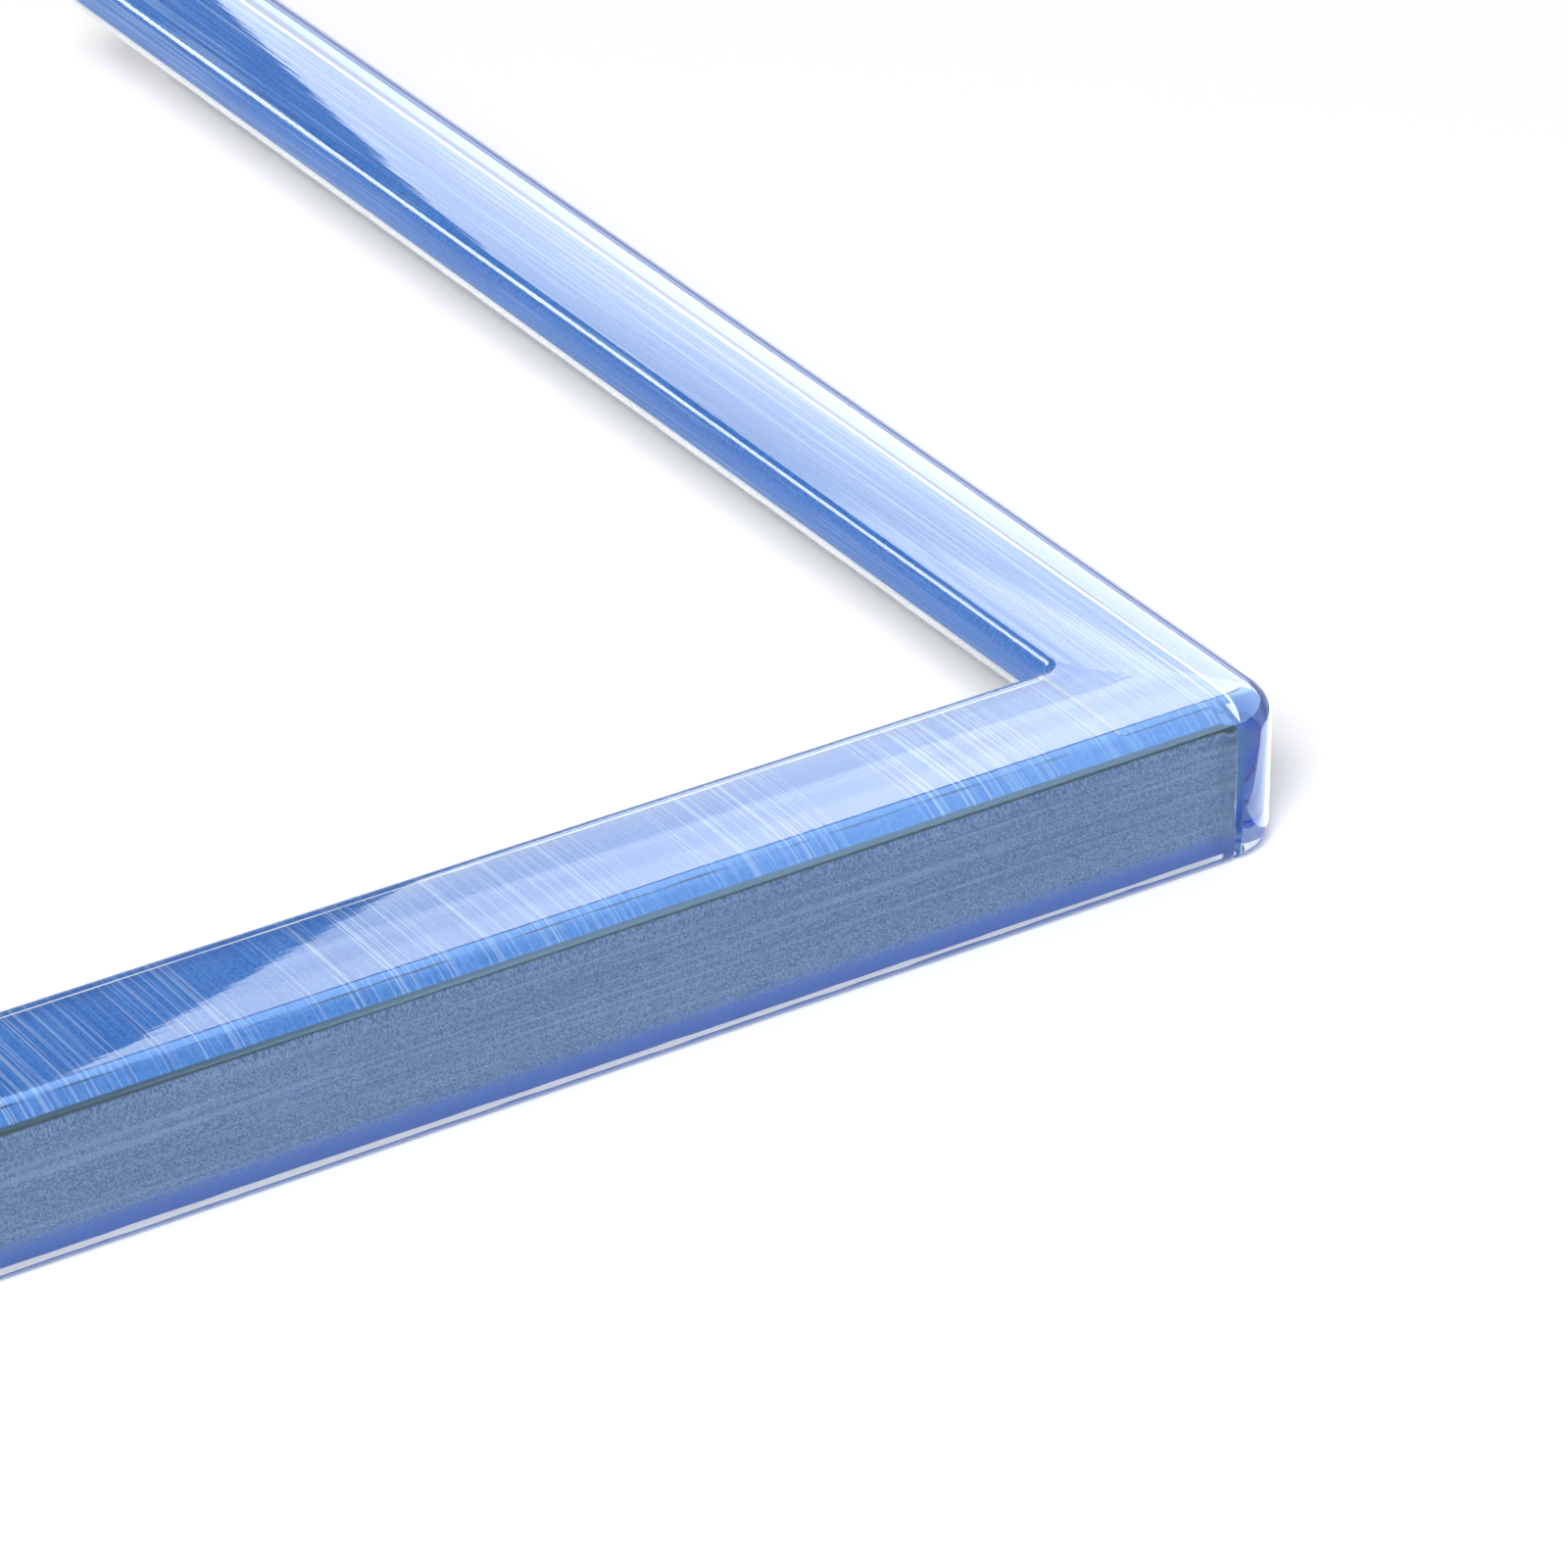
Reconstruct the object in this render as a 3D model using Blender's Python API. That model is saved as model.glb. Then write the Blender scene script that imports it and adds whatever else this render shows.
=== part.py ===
# Clear corner protector for furniture: one soft L-section strip that runs along the front edge
# of a table top, turns round its corner and runs back along the side edge, with four strips of
# double-sided tape on its inner faces.
# Units are metres, +Z is up. The origin is the centre of the footprint, at the height of the
# lower edges. The front arm runs along X and the side arm runs along Y.

from math import cos, pi, sin

import bmesh
import bpy
from mathutils import Vector

MM = 0.001

# Section of the strip
WALL = 4.6 * MM
TOP_LEG_WIDTH = 20.0 * MM
DOWN_LEG_WIDTH = 20.0 * MM
LONG_EDGE_RADIUS = 4.0 * MM
FREE_EDGE_OUTER_RADIUS = 2.0 * MM
FREE_EDGE_INNER_RADIUS = 0.4 * MM
INNER_FILLET_RADIUS = 0.5 * MM

# Plan of the strip, measured from the corner of the furniture
FRONT_ARM_LENGTH = 240.0 * MM
SIDE_ARM_LENGTH = 240.0 * MM
INSIDE_CORNER_RADIUS = 2.0 * MM
TOP_NOTCH_RADIUS = 1.0 * MM

# Relief slit through the down leg of the front arm, beside the corner
SLIT_WIDTH = 0.8 * MM
SLIT_TO_CORNER = 2.35 * MM
SLIT_RISE = 2.2 * MM
SLIT_PAST_FILLET = 0.1 * MM

# Double-sided tape
TAPE_THICKNESS = 1.0 * MM
TAPE_SEAT_GAP = 0.3 * MM
TAPE_TO_FURNITURE_EDGE = 0.1 * MM
TAPE_TO_FREE_EDGE = 0.1 * MM
TAPE_TO_CUT_END = 1.0 * MM
TAPE_TO_SLIT = 0.1 * MM
TAPE_BUTT_GAP = 0.5 * MM

# Fineness of the rounded stretches
LONG_EDGE_STEPS = 12
FREE_OUTER_STEPS = 6
FREE_INNER_STEPS = 3
FILLET_STEPS = 3
CORNER_STEPS = 22

# A cutter reaches this far past the faces that it cuts through
CUT_MARGIN = 1.0 * MM

# A rounding takes at most this share of its wall: two that share a wall, and one that has it alone
SHARED_WALL_LIMIT = 0.45
WHOLE_WALL_LIMIT = 0.9

long_edge_radius = min(LONG_EDGE_RADIUS, WHOLE_WALL_LIMIT * WALL)
free_outer_radius = min(FREE_EDGE_OUTER_RADIUS, SHARED_WALL_LIMIT * WALL)
free_inner_radius = min(FREE_EDGE_INNER_RADIUS, SHARED_WALL_LIMIT * WALL)
fillet_radius = min(INNER_FILLET_RADIUS, WHOLE_WALL_LIMIT * INSIDE_CORNER_RADIUS)
top_reach = TOP_LEG_WIDTH - WALL
down_reach = DOWN_LEG_WIDTH - WALL

# The furniture's corner, seen from the origin: its top is at this height, its front face at
# this y and its side face at this x
furniture_corner = Vector((
    (FRONT_ARM_LENGTH - WALL) / 2,
    (WALL - SIDE_ARM_LENGTH) / 2,
    down_reach,
))


def arc(centre_u, centre_z, radius, start_degrees, end_degrees, steps):
    """Points of one rounded stretch of the section."""
    points = []
    for step in range(steps + 1):
        angle = (start_degrees + (end_degrees - start_degrees) * step / steps) * pi / 180
        points.append((centre_u + radius * cos(angle), centre_z + radius * sin(angle)))
    return points


def section_outline():
    """The L section: u is the way out from the furniture's side, z is the height over its top."""
    outline = arc(-top_reach + free_outer_radius, WALL - free_outer_radius,
                  free_outer_radius, 180, 90, FREE_OUTER_STEPS)
    outline += arc(WALL - long_edge_radius, WALL - long_edge_radius,
                   long_edge_radius, 90, 0, LONG_EDGE_STEPS)
    outline += arc(WALL - free_outer_radius, -down_reach + free_outer_radius,
                   free_outer_radius, 0, -90, FREE_OUTER_STEPS)
    outline += arc(free_inner_radius, -down_reach + free_inner_radius,
                   free_inner_radius, -90, -180, FREE_INNER_STEPS)
    outline += arc(-fillet_radius, -fillet_radius, fillet_radius, 0, 90, FILLET_STEPS)
    outline += arc(-top_reach + free_inner_radius, free_inner_radius,
                   free_inner_radius, 270, 180, FREE_INNER_STEPS)
    return outline


def plan_point(u, turn):
    """Where a section point stands in plan when the strip has turned by this angle."""
    if u > -top_reach / 2:
        centre = Vector((-INSIDE_CORNER_RADIUS, INSIDE_CORNER_RADIUS))
        radius = INSIDE_CORNER_RADIUS + u
    else:
        centre = Vector((-top_reach - TOP_NOTCH_RADIUS, top_reach + TOP_NOTCH_RADIUS))
        radius = TOP_NOTCH_RADIUS + top_reach + u
    return centre + radius * Vector((sin(turn), -cos(turn)))


def material(name, color, roughness, transmission=0.0, alpha=1.0):
    """A plain plastic finish."""
    finish = bpy.data.materials.new(name)
    finish.use_nodes = True
    shader = finish.node_tree.nodes["Principled BSDF"]
    shader.inputs["Base Color"].default_value = (*color, 1.0)
    shader.inputs["Roughness"].default_value = roughness
    shader.inputs["Metallic"].default_value = 0.0
    shader.inputs["Transmission Weight"].default_value = transmission
    shader.inputs["Alpha"].default_value = alpha
    return finish


def add_object(name, mesh_data, finish=None):
    """Puts a finished bmesh into the scene under its own name."""
    mesh = bpy.data.meshes.new(name)
    mesh_data.to_mesh(mesh)
    mesh_data.free()
    if finish:
        mesh.materials.append(finish)
    obj = bpy.data.objects.new(name, mesh)
    bpy.context.scene.collection.objects.link(obj)
    return obj


def box_mesh(low, high):
    """A plain block between two corners."""
    block = bmesh.new()
    size = high - low
    bmesh.ops.create_cube(block, size=1.0)
    bmesh.ops.scale(block, vec=size, verts=block.verts)
    bmesh.ops.translate(block, vec=(low + high) / 2, verts=block.verts)
    return block


def make_guard():
    """The strip: its section swept along the front arm, round the corner and along the side arm."""
    outline = section_outline()
    turns = [pi / 2 * step / CORNER_STEPS for step in range(CORNER_STEPS + 1)]
    stations = [[Vector((-FRONT_ARM_LENGTH, -u, z)) for u, z in outline]]
    for turn in turns:
        stations.append([Vector((*plan_point(u, turn), z)) for u, z in outline])
    stations.append([Vector((u, SIDE_ARM_LENGTH, z)) for u, z in outline])

    strip = bmesh.new()
    rings = [[strip.verts.new(point + furniture_corner) for point in ring] for ring in stations]
    for ring, following in zip(rings, rings[1:]):
        for index in range(len(outline)):
            after = (index + 1) % len(outline)
            strip.faces.new((ring[index], ring[after], following[after], following[index]))
    strip.faces.new(rings[0])
    strip.faces.new(rings[-1])
    bmesh.ops.recalc_face_normals(strip, faces=strip.faces)

    clear_plastic = material("clear_plastic", (0.42, 0.62, 0.95), 0.08, transmission=0.8, alpha=0.6)
    guard = add_object("corner_guard", strip, clear_plastic)
    guard.data.shade_smooth()
    guard.data.set_sharp_from_angle(angle=30 * pi / 180)

    slit = guard.modifiers.new("relief_slit", "BOOLEAN")
    slit.operation = "DIFFERENCE"
    slit.solver = "EXACT"
    slit.object = make_slit_cutter()
    return guard


def make_slit_cutter():
    """The saw cut that lets the down leg turn the corner; it stops inside the top leg."""
    low = Vector((-SLIT_TO_CORNER - SLIT_WIDTH, -WALL - CUT_MARGIN, -down_reach - CUT_MARGIN))
    high = Vector((-SLIT_TO_CORNER, fillet_radius + SLIT_PAST_FILLET, SLIT_RISE))
    cutter = add_object("slit_cutter", box_mesh(low + furniture_corner, high + furniture_corner))
    cutter.hide_render = True
    cutter.display_type = "WIRE"
    return cutter


def make_tapes():
    """Four foam tape strips, each seated on the flat part of an inner face.

    The furniture bears on their far sides, so the strips on the down legs start below its top.
    The side arm's top strip runs on to the front, and the front arm's butts against it.
    """
    near = TAPE_SEAT_GAP
    far = TAPE_SEAT_GAP + TAPE_THICKNESS
    top_near = far + TAPE_TO_FURNITURE_EDGE
    top_far = top_reach - free_inner_radius - TAPE_TO_FREE_EDGE
    face_top = -far - TAPE_TO_FURNITURE_EDGE
    face_bottom = -down_reach + free_inner_radius + TAPE_TO_FREE_EDGE
    front_end = -FRONT_ARM_LENGTH + TAPE_TO_CUT_END
    side_end = SIDE_ARM_LENGTH - TAPE_TO_CUT_END
    slit_side = -SLIT_TO_CORNER - SLIT_WIDTH - TAPE_TO_SLIT
    corner_side = INSIDE_CORNER_RADIUS + far + TAPE_TO_FURNITURE_EDGE
    butt_side = -top_far - TAPE_BUTT_GAP

    strips = {
        "tape_front_face": (Vector((front_end, near, face_bottom)), Vector((slit_side, far, face_top))),
        "tape_front_top": (Vector((front_end, top_near, -far)), Vector((butt_side, top_far, -near))),
        "tape_side_face": (Vector((-far, corner_side, face_bottom)), Vector((-near, side_end, face_top))),
        "tape_side_top": (Vector((-top_far, top_near, -far)), Vector((-top_near, side_end, -near))),
    }
    tape_finish = material("mounting_tape", (0.30, 0.40, 0.55), 0.6)
    for name, (low, high) in strips.items():
        add_object(name, box_mesh(low + furniture_corner, high + furniture_corner), tape_finish)


for old in list(bpy.data.objects):
    bpy.data.objects.remove(old, do_unlink=True)

make_guard()
make_tapes()
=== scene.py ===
import random

import bmesh
import bpy
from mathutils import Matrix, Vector


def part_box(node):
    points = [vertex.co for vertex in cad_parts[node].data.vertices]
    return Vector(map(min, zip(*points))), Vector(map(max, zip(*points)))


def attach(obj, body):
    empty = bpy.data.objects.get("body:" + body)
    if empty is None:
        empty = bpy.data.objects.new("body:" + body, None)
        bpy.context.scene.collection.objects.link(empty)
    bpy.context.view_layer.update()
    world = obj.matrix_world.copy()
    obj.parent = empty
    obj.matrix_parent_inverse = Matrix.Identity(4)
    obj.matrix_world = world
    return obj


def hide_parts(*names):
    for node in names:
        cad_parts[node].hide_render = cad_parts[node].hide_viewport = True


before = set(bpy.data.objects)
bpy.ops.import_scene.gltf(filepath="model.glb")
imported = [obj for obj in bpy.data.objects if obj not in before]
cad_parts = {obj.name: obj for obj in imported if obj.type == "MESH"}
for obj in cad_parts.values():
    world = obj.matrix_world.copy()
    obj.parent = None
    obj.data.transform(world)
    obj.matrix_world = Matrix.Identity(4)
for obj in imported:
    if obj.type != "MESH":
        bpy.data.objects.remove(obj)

scene = bpy.context.scene
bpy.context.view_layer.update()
mm = 0.001

# Clear strip: an L section that turns one corner
guard = {
    "wall": 4.6 * mm,
    "longEdge": 4.0 * mm,        # rounding of the outer edge that runs the whole length
    "freeOuter": 2.0 * mm,       # roundings of the free edges, outer and inner side
    "freeInner": 0.4 * mm,
    "insideFillet": 0.5 * mm,
    "insideCorner": 2.0 * mm,    # plan radius of the inner faces
    "topNotch": 1.0 * mm,        # plan radius where the free edges of the top legs meet
    "slitWidth": 0.8 * mm,
    "slitToCorner": 2.35 * mm,
    "slitRise": 2.2 * mm,
    "slitDepth": 0.6 * mm,       # how far the slit runs in past the front flange
    "slitEase": 0.1 * mm,
    "endEase": 0.15 * mm,
    "crown": 0.18 * mm,          # how far the top leg's edges lie below its middle
    "crownLines": 10,
    "stationStep": 8.0 * mm,
    "cornerSteps": 24,
    "edgeSteps": 10,
    "filletSteps": 4,
    "endSteps": 3,
    "slitSteps": 2,
}
guardLow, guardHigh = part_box("corner_guard")
wall = guard["wall"]
# the inside corner, where the planes of the inner faces meet
corner = Vector((guardHigh.x - wall, guardLow.y + wall, guardHigh.z - wall))
reach = corner.z - guardLow.z    # from there to a free edge
frontArm = corner.x - guardLow.x
sideArm = guardHigh.y - corner.y
touching = 0.02 * mm             # a point this close to a face lies on it
merging = 0.001 * mm             # points closer than this become one
slack = 0.0001 * mm              # a point this close to a cut is left where it is
past = 5 * mm                    # how far a cutter stands out of what it cuts
sharpAngle = 0.7                 # radians; flatter edges are shaded smooth


def at(x, y, z=0.0):
    # a point given from the inside corner
    return corner + Vector((x, y, z))


def outward(point):
    # how far a point lies out past the inner faces, round the corner too
    x, y = point.x - corner.x, point.y - corner.y
    turn = guard["insideCorner"]
    if x > -turn and y < turn:
        return Vector((x + turn, y - turn)).length - turn
    return max(x, -y)


def near(value, wanted):
    return abs(value - wanted) < touching


def plate(outline):
    bm = bmesh.new()
    bm.faces.new([bm.verts.new(at(*point)) for point in outline])
    return bm


def bevel(bm, geom, radius, steps, kind):
    bmesh.ops.bevel(bm, geom=geom, offset=radius, offset_type="OFFSET", segments=steps,
                    profile=0.5, affect=kind, clamp_overlap=False, material=-1)


def roundCorner(bm, spot, radius, steps):
    vert = min(bm.verts, key=lambda v: (v.co - spot).length)
    bevel(bm, [vert], radius, steps, "VERTICES")


def roundEdges(bm, test, radius, steps):
    edges = [edge for edge in bm.edges if all(test(vert.co) for vert in edge.verts)]
    bevel(bm, edges, radius, steps, "EDGES")


def thicken(bm, way):
    moved = bmesh.ops.extrude_face_region(bm, geom=bm.faces[:])
    verts = [part for part in moved["geom"] if isinstance(part, bmesh.types.BMVert)]
    bmesh.ops.translate(bm, vec=way, verts=verts)
    bmesh.ops.recalc_face_normals(bm, faces=bm.faces)


def block(low, high):
    bm = bmesh.new()
    bmesh.ops.create_cube(bm, size=1.0)
    bmesh.ops.scale(bm, vec=high - low, verts=bm.verts)
    bmesh.ops.translate(bm, vec=(low + high) / 2, verts=bm.verts)
    return bm


def splitAt(bm, spot, normal):
    bmesh.ops.bisect_plane(bm, geom=bm.verts[:] + bm.edges[:] + bm.faces[:], dist=slack,
                           plane_co=spot, plane_no=normal)


def asObject(name, bm):
    mesh = bpy.data.meshes.new(name)
    bm.to_mesh(mesh)
    bm.free()
    piece = bpy.data.objects.new(name, mesh)
    scene.collection.objects.link(piece)
    return piece


def reopen(piece):
    bm = bmesh.new()
    bm.from_mesh(piece.data)
    bmesh.ops.remove_doubles(bm, verts=bm.verts, dist=merging)
    return bm


def cutAway(piece, cutter):
    cut = piece.modifiers.new("cut", "BOOLEAN")
    cut.operation = "DIFFERENCE"
    cut.solver = "EXACT"
    cut.object = cutter
    cutMesh = bpy.data.meshes.new_from_object(piece.evaluated_get(bpy.context.evaluated_depsgraph_get()))
    piece.modifiers.clear()
    piece.data = cutMesh
    bpy.data.objects.remove(cutter)


def makeGuard():
    foot = -reach
    strip = plate([(-frontArm, -wall, foot), (wall, -wall, foot), (wall, sideArm, foot),
                   (-reach, sideArm, foot), (-reach, reach, foot), (-frontArm, reach, foot)])
    roundCorner(strip, at(wall, -wall, foot), guard["insideCorner"] + wall, guard["cornerSteps"])
    roundCorner(strip, at(-reach, reach, foot), guard["topNotch"], guard["cornerSteps"])
    thicken(strip, Vector((0, 0, reach + wall)))
    piece = asObject("cornerGuard", strip)

    foot -= past
    hollow = plate([(-frontArm - past, 0, foot), (0, 0, foot), (0, sideArm + past, foot),
                    (-frontArm - past, sideArm + past, foot)])
    roundCorner(hollow, at(0, 0, foot), guard["insideCorner"], guard["cornerSteps"])
    thicken(hollow, Vector((0, 0, reach + past)))
    cutAway(piece, asObject("hollowCutter", hollow))

    bm = reopen(piece)
    top, under, foot = corner.z + wall, corner.z, corner.z - reach
    steps = guard["edgeSteps"]
    roundEdges(bm, lambda p: near(p.z, top) and near(outward(p), wall), guard["longEdge"], steps)
    roundEdges(bm, lambda p: near(p.z, top) and outward(p) < touching - reach, guard["freeOuter"], steps)
    roundEdges(bm, lambda p: near(p.z, under) and outward(p) < touching - reach, guard["freeInner"],
               steps)
    roundEdges(bm, lambda p: near(p.z, foot) and near(outward(p), wall), guard["freeOuter"], steps)
    roundEdges(bm, lambda p: near(p.z, foot) and near(outward(p), 0), guard["freeInner"], steps)
    roundEdges(bm, lambda p: near(p.z, under) and near(outward(p), 0), guard["insideFillet"],
               guard["filletSteps"])
    roundEdges(bm, lambda p: near(p.x, corner.x - frontArm) or near(p.y, corner.y + sideArm),
               guard["endEase"], guard["endSteps"])
    bm.to_mesh(piece.data)
    bm.free()

    low = at(-guard["slitToCorner"] - guard["slitWidth"], -wall - past, -reach - past)
    high = at(-guard["slitToCorner"], guard["slitDepth"], guard["slitRise"])
    cutAway(piece, asObject("slitCutter", block(low, high)))

    bm = reopen(piece)
    roundEdges(bm, lambda p: low.x - touching < p.x < high.x + touching and p.y < high.y + touching
               and p.z < high.z + touching, guard["slitEase"], guard["slitSteps"])
    addLines(bm)
    crownTop(bm)
    bm.to_mesh(piece.data)
    bm.free()
    markRun(piece.data)
    return piece


def topFlat():
    # the flat of the top leg, from the free edge's rounding to the long edge's
    return -reach + guard["freeOuter"], wall - guard["longEdge"]


def addLines(bm):
    # lines across the arms, and along the flat of the top legs
    step = guard["stationStep"]
    for count in range(1, int((frontArm - 2 * reach) / step)):
        splitAt(bm, at(-frontArm + count * step, 0), (1, 0, 0))
    for count in range(1, int((sideArm - 2 * reach) / step)):
        splitAt(bm, at(0, sideArm - count * step), (0, 1, 0))
    first, last = topFlat()
    for count in range(1, guard["crownLines"]):
        out = first + (last - first) * count / guard["crownLines"]
        splitAt(bm, at(out, 0), (1, 0, 0))
        splitAt(bm, at(0, -out), (0, 1, 0))


def crownTop(bm):
    # the top leg sinks a little toward its edges, fading out down to the middle of the wall
    first, last = topFlat()
    middle, half = (first + last) / 2, (last - first) / 2
    for vert in bm.verts:
        height = (vert.co.z - corner.z) / wall
        if height > 0.5:
            across = (max(vert.co.x - corner.x, corner.y - vert.co.y) - middle) / half
            vert.co.z -= guard["crown"] * min(across ** 2, 1.0) * (2 * height - 1)


def markRun(mesh):
    # where each point lies in the section and along the strip, for the drawing lines of the plastic
    run = mesh.attributes.new("run", "FLOAT_VECTOR", "POINT")
    for vert, place in zip(mesh.vertices, run.data):
        along = (vert.co.x - corner.x) + (vert.co.y - corner.y)
        place.vector = (outward(vert.co), vert.co.z - corner.z, along)


# Tape strips: a white foam core, and a blue film whose glue wets the plastic and reaches a hair into it
tape = {
    "filmThickness": 0.12 * mm,
    "wetting": 0.03 * mm,
    "fold": 1.60 * mm,           # how far the front film is folded in under the top leg
    "sideRise": 0.85 * mm,       # the side film stands this far above its foam
    "topOverhang": 0.85 * mm,    # the side arm's top film reaches this far out past its foam
    "freeOverhang": 0.45 * mm,   # and the front arm's this far in, to the free edge
    "footOverhang": 0.15 * mm,   # the front film reaches this far below its foam
    "endGap": 0.02 * mm,         # from the front film to the slit
    "edgeRound": 0.05 * mm,
    "edgeSteps": 2,
    "foldSteps": 5,
    "step": 3.0 * mm,
    "waver": 0.10 * mm,          # how far the cut edges wander
    "seed": 4,
}


def waverEdges(bm, along, edges):
    # the cut edges wander: each edge is an axis, a test for its points and the way they move
    draw = random.Random(tape["seed"])
    for axis, onEdge, way in edges:
        wander = {}
        for vert in sorted(bm.verts, key=lambda v: tuple(v.co)):
            if onEdge(vert.co):
                spot = round(vert.co[along] / mm, 2)
                if spot not in wander:
                    wander[spot] = draw.random() * tape["waver"]
                vert.co[axis] += way * wander[spot]


def cutAcross(bm, along, low, high):
    direction = Vector((1, 0, 0)) if along == 0 else Vector((0, 1, 0))
    count = int((high - low)[along] / tape["step"])
    for index in range(1, count):
        splitAt(bm, low + direction * ((high - low)[along] * index / count), direction)


def makeStrip(name, low, high, thin):
    # a straight strip, thin along one axis
    bm = block(low, high)
    bevel(bm, bm.edges[:], tape["edgeRound"], tape["edgeSteps"], "EDGES")
    along = 0 if high.x - low.x > high.y - low.y else 1
    across = 3 - along - thin
    cutAcross(bm, along, low, high)
    middle = (low + high)[across] / 2
    waverEdges(bm, along, ((across, lambda p: p[across] < middle, 1),
                           (across, lambda p: p[across] > middle, -1)))
    return asObject(name, bm)


def makeFoldedFilm(name, low, high):
    # the front film, stuck behind the flange and folded in under the top leg
    foot, end = low.z - corner.z, low.x - corner.x
    stuck, inside, fold = tape["wetting"], tape["filmThickness"], tape["fold"]
    bm = plate([(end, -stuck, foot), (end, -stuck, stuck), (end, fold, stuck), (end, fold, -inside),
                (end, inside, -inside), (end, inside, foot)])
    roundCorner(bm, at(end, -stuck, stuck), guard["insideFillet"] + stuck, tape["foldSteps"])
    roundCorner(bm, at(end, inside, -inside), guard["insideFillet"] - inside, tape["foldSteps"])
    far = -guard["slitToCorner"] - guard["slitWidth"] - tape["endGap"]
    thicken(bm, Vector((far - end, 0, 0)))
    cutAcross(bm, 0, low, at(far, 0))
    waverEdges(bm, 0, ((2, lambda p: near(p.z, low.z), 1),
                       (1, lambda p: near(p.y, corner.y + fold), -1)))
    return asObject(name, bm)


def makeTape(node, name, thin):
    # foam and film of one strip; thin is the axis along which it is thin
    low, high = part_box(node)
    inside = 1 if thin == 1 else -1          # the way in, away from the plastic
    plastic = corner[thin]
    foamLow, foamHigh, filmLow, filmHigh = low.copy(), high.copy(), low.copy(), high.copy()
    seam, stuck = plastic + inside * tape["filmThickness"], plastic - inside * tape["wetting"]
    if inside > 0:
        foamLow[thin], filmLow[thin], filmHigh[thin] = seam, stuck, seam
    else:
        foamHigh[thin], filmHigh[thin], filmLow[thin] = seam, stuck, seam
    if name == "frontFace":
        filmLow.z -= tape["footOverhang"]
        film = makeFoldedFilm(name + "Film", filmLow, filmHigh)
    else:
        if name == "sideFace":
            filmHigh.z += tape["sideRise"]
        elif name == "sideTop":
            filmHigh.x += tape["topOverhang"]
        else:
            filmHigh.y += tape["freeOverhang"]
        film = makeStrip(name + "Film", filmLow, filmHigh, thin)
    markFold(film.data)
    return makeStrip(name + "Foam", foamLow, foamHigh, thin), film


def markFold(mesh):
    # how far each point of a film lies above the inside corner, or in past it once folded over
    fold = mesh.attributes.new("fold", "FLOAT", "POINT")
    for vert, place in zip(mesh.vertices, fold.data):
        place.value = (vert.co.z - corner.z) + max(0.0, -outward(vert.co))


def dress(piece, node, material):
    piece.data.materials.clear()
    piece.data.materials.append(material)
    piece.data.shade_smooth()
    piece.data.set_sharp_from_angle(angle=sharpAngle)
    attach(piece, "root")
    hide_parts(node)


def newMaterial(name):
    material = bpy.data.materials.new(name)
    material.use_nodes = True
    nodes = material.node_tree.nodes
    return material, nodes, material.node_tree.links, nodes["Principled BSDF"]


def ranged(nodes, links, value, span, to=(0.0, 1.0), kind="LINEAR"):
    # a value carried over from one span to another
    ramp = nodes.new("ShaderNodeMapRange")
    ramp.interpolation_type = kind
    for socket, number in zip(("From Min", "From Max", "To Min", "To Max"), (*span, *to)):
        ramp.inputs[socket].default_value = number
    links.new(value, ramp.inputs["Value"])
    return ramp.outputs["Result"]


def calculate(nodes, links, operation, first, second):
    step = nodes.new("ShaderNodeMath")
    step.operation = operation
    links.new(first, step.inputs[0])
    links.new(second, step.inputs[1])
    return step.outputs[0]


def mixColors(nodes, links, amount, under, over):
    # each colour is given as a value or comes from a socket
    mix = nodes.new("ShaderNodeMix")
    mix.data_type = "RGBA"
    links.new(amount, mix.inputs["Factor"])
    for socket, color in ((mix.inputs[6], under), (mix.inputs[7], over)):
        if isinstance(color, tuple):
            socket.default_value = color
        else:
            links.new(color, socket)
    return mix.outputs[2]


def addBump(nodes, links, shader, height, strength, distance):
    bump = nodes.new("ShaderNodeBump")
    bump.inputs["Strength"].default_value = strength
    bump.inputs["Distance"].default_value = distance
    links.new(height, bump.inputs["Height"])
    links.new(bump.outputs["Normal"], shader.inputs["Normal"])


clear = {
    "tint": (0.96, 0.98, 1.0, 1.0),
    "depthTint": (0.38, 0.62, 1.0, 1.0),
    "depth": 38.0,
    "ior": 1.5,
    "gloss": (0.015, 0.05),      # roughness where it is cleanest and where it is handled
    "smudgeScale": 90.0,
    "smudgeSpan": (0.4, 0.7),
    "drawScale": (1500.0, 1500.0, 8.0),
    "drawHeight": 0.006 * mm,
    "drawStrength": 1.0,
}


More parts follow.
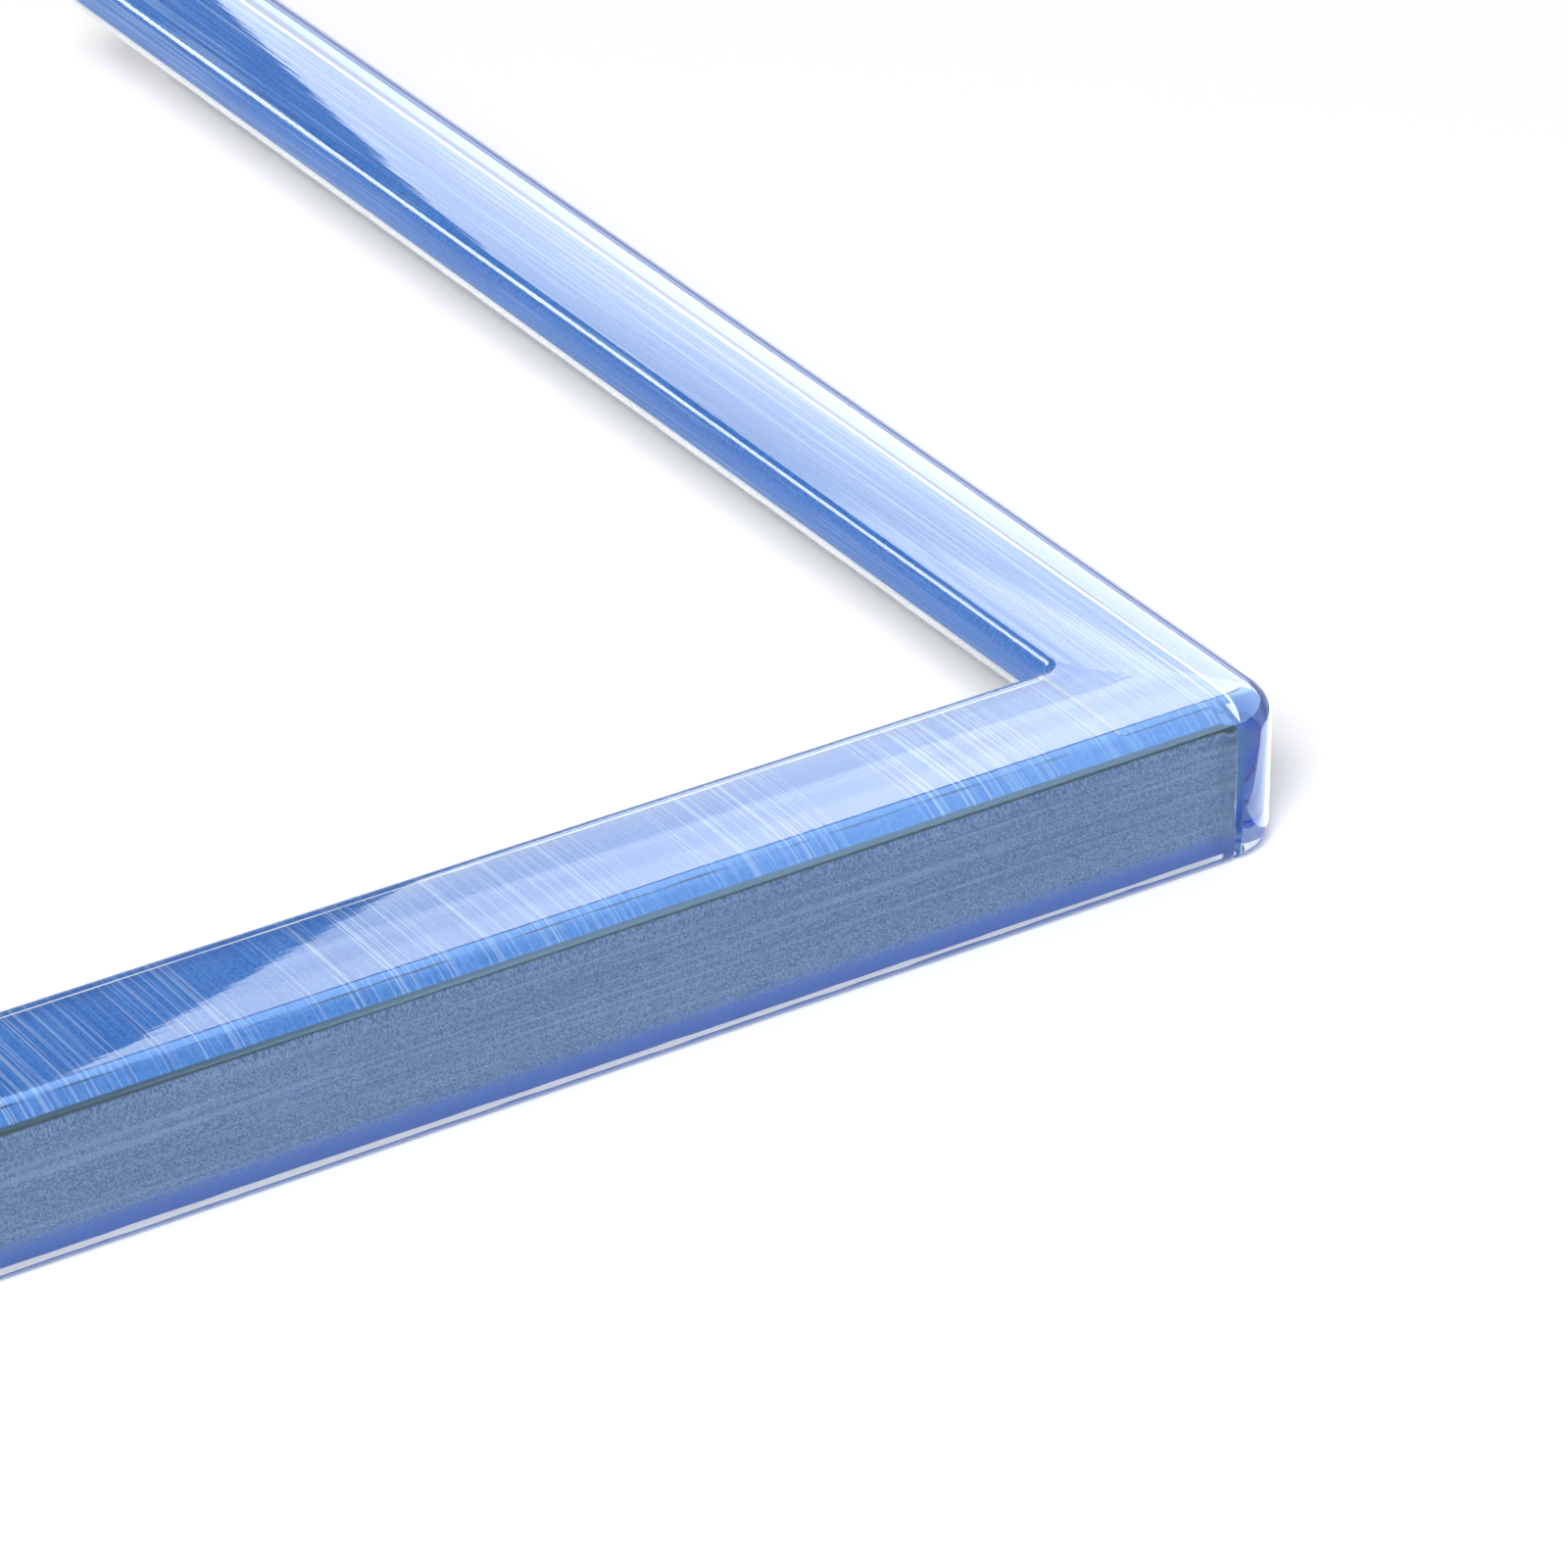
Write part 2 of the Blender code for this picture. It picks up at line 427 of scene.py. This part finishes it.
def clearPlastic():
    material, nodes, links, shader = newMaterial("clearPlastic")
    shader.inputs["Base Color"].default_value = clear["tint"]
    shader.inputs["Transmission Weight"].default_value = 1.0
    shader.inputs["IOR"].default_value = clear["ior"]
    absorb = nodes.new("ShaderNodeVolumeAbsorption")
    absorb.inputs["Color"].default_value = clear["depthTint"]
    absorb.inputs["Density"].default_value = clear["depth"]
    links.new(absorb.outputs["Volume"], nodes["Material Output"].inputs["Volume"])

    place = nodes.new("ShaderNodeTexCoord")
    smudge = nodes.new("ShaderNodeTexNoise")
    smudge.inputs["Scale"].default_value = clear["smudgeScale"]
    links.new(place.outputs["Object"], smudge.inputs["Vector"])
    gloss = ranged(nodes, links, smudge.outputs["Fac"], clear["smudgeSpan"], clear["gloss"])
    links.new(gloss, shader.inputs["Roughness"])

    run = nodes.new("ShaderNodeAttribute")
    run.attribute_name = "run"
    stretch = nodes.new("ShaderNodeMapping")
    stretch.inputs["Scale"].default_value = clear["drawScale"]
    links.new(run.outputs["Vector"], stretch.inputs["Vector"])
    drawing = nodes.new("ShaderNodeTexNoise")
    drawing.inputs["Scale"].default_value = 1.0
    links.new(stretch.outputs["Vector"], drawing.inputs["Vector"])
    addBump(nodes, links, shader, drawing.outputs["Fac"], clear["drawStrength"], clear["drawHeight"])
    return material


# Grain of the films: bright and dim streaks, which come in bunches, over a fine mottle
grain = {
    "bunchScale": 0.04,          # against 1 for the streaks themselves
    "bunchShift": 7.0,
    "dimShift": 40.0,
    "bunchSpan": (0.30, 0.58),
    "brightSpan": (0.52, 0.68),
    "dimSpan": (0.52, 0.72),
    "streakDetail": 1.0,
    "streakRoughness": 0.7,
    "mottleSpan": (0.35, 0.65),
    "mottleDetail": 2.0,
}


def streakGroup():
    group = bpy.data.node_groups.new("filmGrain", "ShaderNodeTree")
    nodes, links = group.nodes, group.links
    for kind, names in (("NodeSocketColor", ("Dark", "Light", "Streak", "Shade")),
                        ("NodeSocketVector", ("Stretch",)),
                        ("NodeSocketFloat", ("Streak Amount", "Mottle Scale"))):
        for name in names:
            group.interface.new_socket(name=name, in_out="INPUT", socket_type=kind)
    group.interface.new_socket(name="Color", in_out="OUTPUT", socket_type="NodeSocketColor")
    group.interface.new_socket(name="Height", in_out="OUTPUT", socket_type="NodeSocketFloat")
    given, result = nodes.new("NodeGroupInput"), nodes.new("NodeGroupOutput")
    place = nodes.new("ShaderNodeTexCoord")

    def noise(scale, shift):
        stretch = nodes.new("ShaderNodeVectorMath")
        stretch.operation = "MULTIPLY_ADD"
        links.new(place.outputs["Object"], stretch.inputs[0])
        links.new(given.outputs["Stretch"], stretch.inputs[1])
        stretch.inputs[2].default_value = (shift, shift, shift)
        texture = nodes.new("ShaderNodeTexNoise")
        texture.inputs["Scale"].default_value = scale
        texture.inputs["Detail"].default_value = grain["streakDetail"]
        texture.inputs["Roughness"].default_value = grain["streakRoughness"]
        links.new(stretch.outputs[0], texture.inputs["Vector"])
        return texture.outputs["Fac"]

    mottle = nodes.new("ShaderNodeTexNoise")
    mottle.inputs["Detail"].default_value = grain["mottleDetail"]
    links.new(place.outputs["Object"], mottle.inputs["Vector"])
    links.new(given.outputs["Mottle Scale"], mottle.inputs["Scale"])
    body = mixColors(nodes, links, ranged(nodes, links, mottle.outputs["Fac"], grain["mottleSpan"]),
                     given.outputs["Dark"], given.outputs["Light"])
    bunches = ranged(nodes, links, noise(grain["bunchScale"], grain["bunchShift"]), grain["bunchSpan"])
    bunches = calculate(nodes, links, "MULTIPLY", bunches, given.outputs["Streak Amount"])
    bright = ranged(nodes, links, noise(1.0, 0.0), grain["brightSpan"])
    bright = calculate(nodes, links, "MULTIPLY", bright, bunches)
    dim = ranged(nodes, links, noise(1.0, grain["dimShift"]), grain["dimSpan"])
    dim = calculate(nodes, links, "MULTIPLY", dim, bunches)
    shaded = mixColors(nodes, links, dim, body, given.outputs["Shade"])
    streaked = mixColors(nodes, links, bright, shaded, given.outputs["Streak"])
    links.new(streaked, result.inputs["Color"])
    links.new(mottle.outputs["Fac"], result.inputs["Height"])
    return group


# Films: grain runs along Y under the top legs and along the arm behind the flanges
films = {
    "topFilm": {
        "Dark": (0.03, 0.23, 0.66, 1), "Light": (0.08, 0.37, 0.81, 1), "Streak": (0.72, 0.88, 1.0, 1),
        "Shade": (0.01, 0.12, 0.46, 1), "Stretch": (3600, 30, 30), "Streak Amount": 0.75,
        "Mottle Scale": 2200.0,
    },
    "faceFilm": {
        "Dark": (0.07, 0.18, 0.33, 1), "Light": (0.33, 0.47, 0.63, 1), "Streak": (0.42, 0.57, 0.72, 1),
        "Shade": (0.08, 0.17, 0.31, 1), "Stretch": (18, 18, 1500), "Streak Amount": 0.5,
        "Mottle Scale": 5000.0,
    },
}
filmFinish = {"roughness": 0.6, "bumpStrength": 0.15, "bumpHeight": 0.1 * mm}
bands = {
    # painted shade: a deeper blue toward the foot, for the shade seen through the plastic's lower edge
    "footShadeBlue": {"color": (0.09, 0.24, 0.70, 1), "span": (4.0 * mm - reach, 1.2 * mm - reach)},
    # painted shade: a dark line by the fold, for the shaded gap between the top and front films
    "gapShadeLine": {"color": (0.03, 0.08, 0.09, 1), "span": (-0.48 * mm, -0.30 * mm)},
    "foldBlue": {"color": None, "span": (0.10 * mm, 0.30 * mm)},      # the top film's colour
}


def grainNode(nodes, name, group):
    film = nodes.new("ShaderNodeGroup")
    film.node_tree = group
    for socket, value in films[name].items():
        film.inputs[socket].default_value = value
    return film


def addBands(nodes, links, color, group):
    # painted shade: a dark line by the fold for the shaded gap between the films, the top film's blue
    # where the film is folded over, and a deeper blue of painted shade toward the foot
    place = nodes.new("ShaderNodeAttribute")
    place.attribute_name = "fold"
    for band in bands.values():
        amount = ranged(nodes, links, place.outputs["Fac"], band["span"], kind="SMOOTHSTEP")
        over = band["color"] or grainNode(nodes, "topFilm", group).outputs["Color"]
        color = mixColors(nodes, links, amount, color, over)
    return color


def filmMaterial(name, group):
    material, nodes, links, shader = newMaterial(name)
    film = grainNode(nodes, name, group)
    addBump(nodes, links, shader, film.outputs["Height"], filmFinish["bumpStrength"],
            filmFinish["bumpHeight"])
    shader.inputs["Roughness"].default_value = filmFinish["roughness"]
    color = film.outputs["Color"]
    if name == "faceFilm":
        color = addBands(nodes, links, color, group)
    links.new(color, shader.inputs["Base Color"])
    return material


foam = {
    # dark is painted shade in the pits of the pores, light is the foam's own white
    "dark": (0.70, 0.73, 0.77, 1),
    "light": (0.90, 0.92, 0.94, 1),
    "poreScale": 3200.0,
    "roughness": 0.85,
    "bumpStrength": 0.4,
    "bumpHeight": 0.1 * mm,
}


def makeFoam():
    material, nodes, links, shader = newMaterial("foamCore")
    place = nodes.new("ShaderNodeTexCoord")
    pores = nodes.new("ShaderNodeTexVoronoi")
    pores.inputs["Scale"].default_value = foam["poreScale"]
    links.new(place.outputs["Object"], pores.inputs["Vector"])
    depth = pores.outputs["Distance"]
    # painted shade: dark in the pits of the pores, light on their rims
    links.new(mixColors(nodes, links, depth, foam["dark"], foam["light"]), shader.inputs["Base Color"])
    addBump(nodes, links, shader, depth, foam["bumpStrength"], foam["bumpHeight"])
    shader.inputs["Roughness"].default_value = foam["roughness"]
    return material


guardPiece = makeGuard()
dress(guardPiece, "corner_guard", clearPlastic())
print("guard ready", len(guardPiece.data.polygons), "faces")

filmGrain = streakGroup()
topFilm, faceFilm = filmMaterial("topFilm", filmGrain), filmMaterial("faceFilm", filmGrain)
foamCore = makeFoam()
for node, name, thin, film in (
        ("tape_front_face", "frontFace", 1, faceFilm),
        ("tape_side_face", "sideFace", 0, faceFilm),
        ("tape_front_top", "frontTop", 2, topFilm),
        ("tape_side_top", "sideTop", 2, topFilm)):
    foamPiece, filmPiece = makeTape(node, name, thin)
    dress(foamPiece, node, foamCore)
    dress(filmPiece, node, film)
print("tapes ready")

# Camera, solved from straight edges in the photograph
camera = {
    "lens": 195.4,
    "sensorWidth": 36.0,
    "clip": (0.01, 100.0),
    "fromCorner": Vector((-0.49096, -0.66017, 0.46475)),
    "forward": Vector((0.47372, 0.72565, -0.49902)),
}
cameraData = bpy.data.cameras.new("photoCamera")
cameraData.lens = camera["lens"]
cameraData.sensor_width = camera["sensorWidth"]
cameraData.clip_start, cameraData.clip_end = camera["clip"]
cameraObject = bpy.data.objects.new("photoCamera", cameraData)
scene.collection.objects.link(cameraObject)
cameraObject.location = corner + camera["fromCorner"]
cameraObject.rotation_mode = "QUATERNION"
cameraObject.rotation_quaternion = camera["forward"].to_track_quat("-Z", "Y")
scene.camera = cameraObject

# Studio: pale floor, white surroundings, a soft lamp from the camera's side, and panels that only
# gloss shows
studio = {
    "floorSize": 12.0,
    "floorColor": (0.86, 0.86, 0.87, 1.0),
    "floorRoughness": 0.9,
    "floorLift": 0.14,           # glow of the floor for the camera and in gloss
    "glassLift": 0.35,           # and this much more seen through the plastic
    "worldStrength": 0.42,
    "lampSize": 1.1,
    "lampSpot": Vector((-1.5, -1.7, 2.1)),
    "lampPower": 95.0,
}

# Each panel faces the spot where a mirror with this normal would show it, and its corners are given
# from the middle of that view. Its strength runs from the first to the second glow between the two
# ends of the ramp, along the slope, and the top panel has soft stripes that lie along the front arm.
# The low card lies on the floor beside the corner.
panels = {
    "topPanel": {
        "spot": Vector((-0.060, 0.0, 0.005)), "normal": Vector((0, 0, 1)), "distance": 1.5,
        "corners": ((-0.148, -0.32), (1.25, -0.32), (1.25, -0.256), (-0.148, 0.254)),
        "color": (0.92, 0.96, 0.94, 1.0),
        "glow": (6.3, 9.7), "slope": (1.0, 0.0, 0.0), "ramp": (-0.11, 0.10),
    },
    "greyCard": {
        "spot": Vector((-0.060, 0.0, 0.005)), "normal": Vector((0, 0, 1)), "distance": 1.5,
        "corners": ((-1.2, -0.6), (-0.148, -0.6), (-0.148, 0.254), (-1.2, 0.64)),
        "color": (0.90, 0.94, 1.0, 1.0),
        "glow": (0.4, 0.4), "slope": (1.0, 0.0, 0.0), "ramp": (-1.2, -0.148),
    },
    "roundPanel": {
        "spot": Vector((-0.060, 0.0, 0.005)), "normal": Vector((0, -0.643, 0.766)), "distance": 1.0,
        "corners": ((-1.5, -0.68), (0.6, -0.68), (0.6, 1.1), (-1.5, 1.1)),
        "color": (0.45, 0.68, 1.0, 1.0),
        "glow": (7.5, 3.0), "slope": (1.0, 1.0, 0.0), "ramp": (-0.05, 0.15),
    },
    "hairlinePanel": {
        "spot": Vector((-0.010, 0.060, 0.005)), "normal": Vector((-0.5, 0, 0.866)), "distance": 1.2,
        "corners": ((-0.15, -0.30), (0.15, -0.30), (0.15, 0.30), (-0.15, 0.30)),
        "color": (1.0, 1.0, 1.0, 1.0),
        "glow": (12.0, 12.0), "slope": (1.0, 0.0, 0.0), "ramp": (-0.15, 0.15),
    },
    "lowCard": {
        "spot": Vector((0, 0, 0.0005 - reach)), "normal": Vector((0, 0, 1)), "distance": 0.0,
        "corners": ((0.0055, -0.013), (0.045, -0.013), (0.045, 0.035), (0.0055, 0.035)),
        "color": (0.85, 0.96, 1.0, 1.0),
        "glow": (4.5, 4.5), "slope": (1.0, 0.0, 0.0), "ramp": (0.0055, 0.045),
    },
}
stripes = {
    "slope": (0.365, 1.0, 0.0),
    "reach": 0.25,               # half the height over which they run
    "stops": ((0.05, 0.74), (0.16, 0.70), (0.28, 0.58), (0.40, 0.52), (0.43, 0.56), (0.46, 0.80),
              (0.52, 0.70), (0.62, 0.70), (0.65, 0.82)),
}


def shownToGlass(nodes, links):
    # 1 for what the camera sees itself, in a reflection or through the plastic
    path = nodes.new("ShaderNodeLightPath")
    seen = path.outputs["Is Camera Ray"]
    for name in ("Is Glossy Ray", "Is Transmission Ray"):
        seen = calculate(nodes, links, "MAXIMUM", seen, path.outputs[name])
    return seen


def makeFloor():
    bm = bmesh.new()
    bmesh.ops.create_grid(bm, x_segments=1, y_segments=1, size=studio["floorSize"] / 2)
    bmesh.ops.translate(bm, vec=(0, 0, guardLow.z), verts=bm.verts)
    floor = asObject("floor", bm)
    material, nodes, links, shader = newMaterial("paleFloor")
    shader.inputs["Base Color"].default_value = studio["floorColor"]
    shader.inputs["Roughness"].default_value = studio["floorRoughness"]
    shader.inputs["Specular IOR Level"].default_value = 0.0
    path = nodes.new("ShaderNodeLightPath")
    lift = 0.0
    for seen, amount in ((shownToGlass(nodes, links), studio["floorLift"]),
                         (path.outputs["Is Transmission Ray"], studio["glassLift"])):
        lifted = nodes.new("ShaderNodeMath")
        lifted.operation = "MULTIPLY_ADD"
        links.new(seen, lifted.inputs[0])
        lifted.inputs[1].default_value = amount
        if lift:
            links.new(lift, lifted.inputs[2])
        else:
            lifted.inputs[2].default_value = 0.0
        lift = lifted.outputs[0]
    shader.inputs["Emission Color"].default_value = (1, 1, 1, 1)
    links.new(lift, shader.inputs["Emission Strength"])
    floor.data.materials.append(material)


def makeWorld():
    world = bpy.data.worlds.new("whiteRoom")
    scene.world = world
    world.use_nodes = True
    nodes, links = world.node_tree.nodes, world.node_tree.links
    background = nodes["Background"]
    background.inputs["Color"].default_value = (1, 1, 1, 1)
    strength = ranged(nodes, links, shownToGlass(nodes, links), (0.0, 1.0),
                      (studio["worldStrength"], 1.0))
    links.new(strength, background.inputs["Strength"])


def makeLamp():
    lampData = bpy.data.lights.new("softLamp", "AREA")
    lampData.shape = "SQUARE"
    lampData.size = studio["lampSize"]
    lampData.energy = studio["lampPower"]
    lamp = bpy.data.objects.new("softLamp", lampData)
    scene.collection.objects.link(lamp)
    lamp.location = studio["lampSpot"]
    lamp.rotation_mode = "QUATERNION"
    lamp.rotation_quaternion = (-lamp.location).to_track_quat("-Z", "Y")
    lamp.visible_camera = False
    lamp.visible_glossy = False
    lamp.visible_transmission = False


def slopeRamp(nodes, links, vector, slope, span, to=(0.0, 1.0)):
    # a value that changes between two places along a slope
    dot = nodes.new("ShaderNodeVectorMath")
    dot.operation = "DOT_PRODUCT"
    dot.inputs[1].default_value = slope
    links.new(vector, dot.inputs[0])
    return ranged(nodes, links, dot.outputs["Value"], span, to)


def stripedStrength(nodes, links, vector, strength):
    place = slopeRamp(nodes, links, vector, stripes["slope"], (-stripes["reach"], stripes["reach"]))
    bright = nodes.new("ShaderNodeValToRGB")
    elements = bright.color_ramp.elements
    while len(elements) < len(stripes["stops"]):
        elements.new(1.0)
    for element, (spot, value) in zip(elements, stripes["stops"]):
        element.position = spot
        element.color = (value, value, value, 1)
    links.new(place, bright.inputs["Fac"])
    return calculate(nodes, links, "MULTIPLY", strength, bright.outputs["Color"])


def makePanel(name, values):
    bm = bmesh.new()
    bm.faces.new([bm.verts.new((x, y, 0)) for x, y in values["corners"]])
    panel = asObject(name, bm)
    spot = corner + values["spot"]
    panel.location = spot
    if values["distance"]:
        mirrored = (spot - cameraObject.location).normalized().reflect(values["normal"].normalized())
        panel.location += mirrored * values["distance"]
        panel.rotation_mode = "QUATERNION"
        panel.rotation_quaternion = (-mirrored).to_track_quat("Z", "Y")
    material, nodes, links = newMaterial(name + "Glow")[:3]
    glow = nodes.new("ShaderNodeEmission")
    glow.inputs["Color"].default_value = values["color"]
    place = nodes.new("ShaderNodeTexCoord").outputs["Object"]
    strength = slopeRamp(nodes, links, place, values["slope"], values["ramp"], values["glow"])
    if name == "topPanel":
        strength = stripedStrength(nodes, links, place, strength)
    links.new(strength, glow.inputs["Strength"])
    links.new(glow.outputs[0], nodes["Material Output"].inputs["Surface"])
    panel.data.materials.append(material)
    panel.visible_camera = False
    panel.visible_transmission = False
    panel.visible_shadow = False
    panel.visible_diffuse = False


makeFloor()
makeWorld()
makeLamp()
for name, values in panels.items():
    makePanel(name, values)
scene.view_settings.view_transform = "Standard"
print("studio ready")
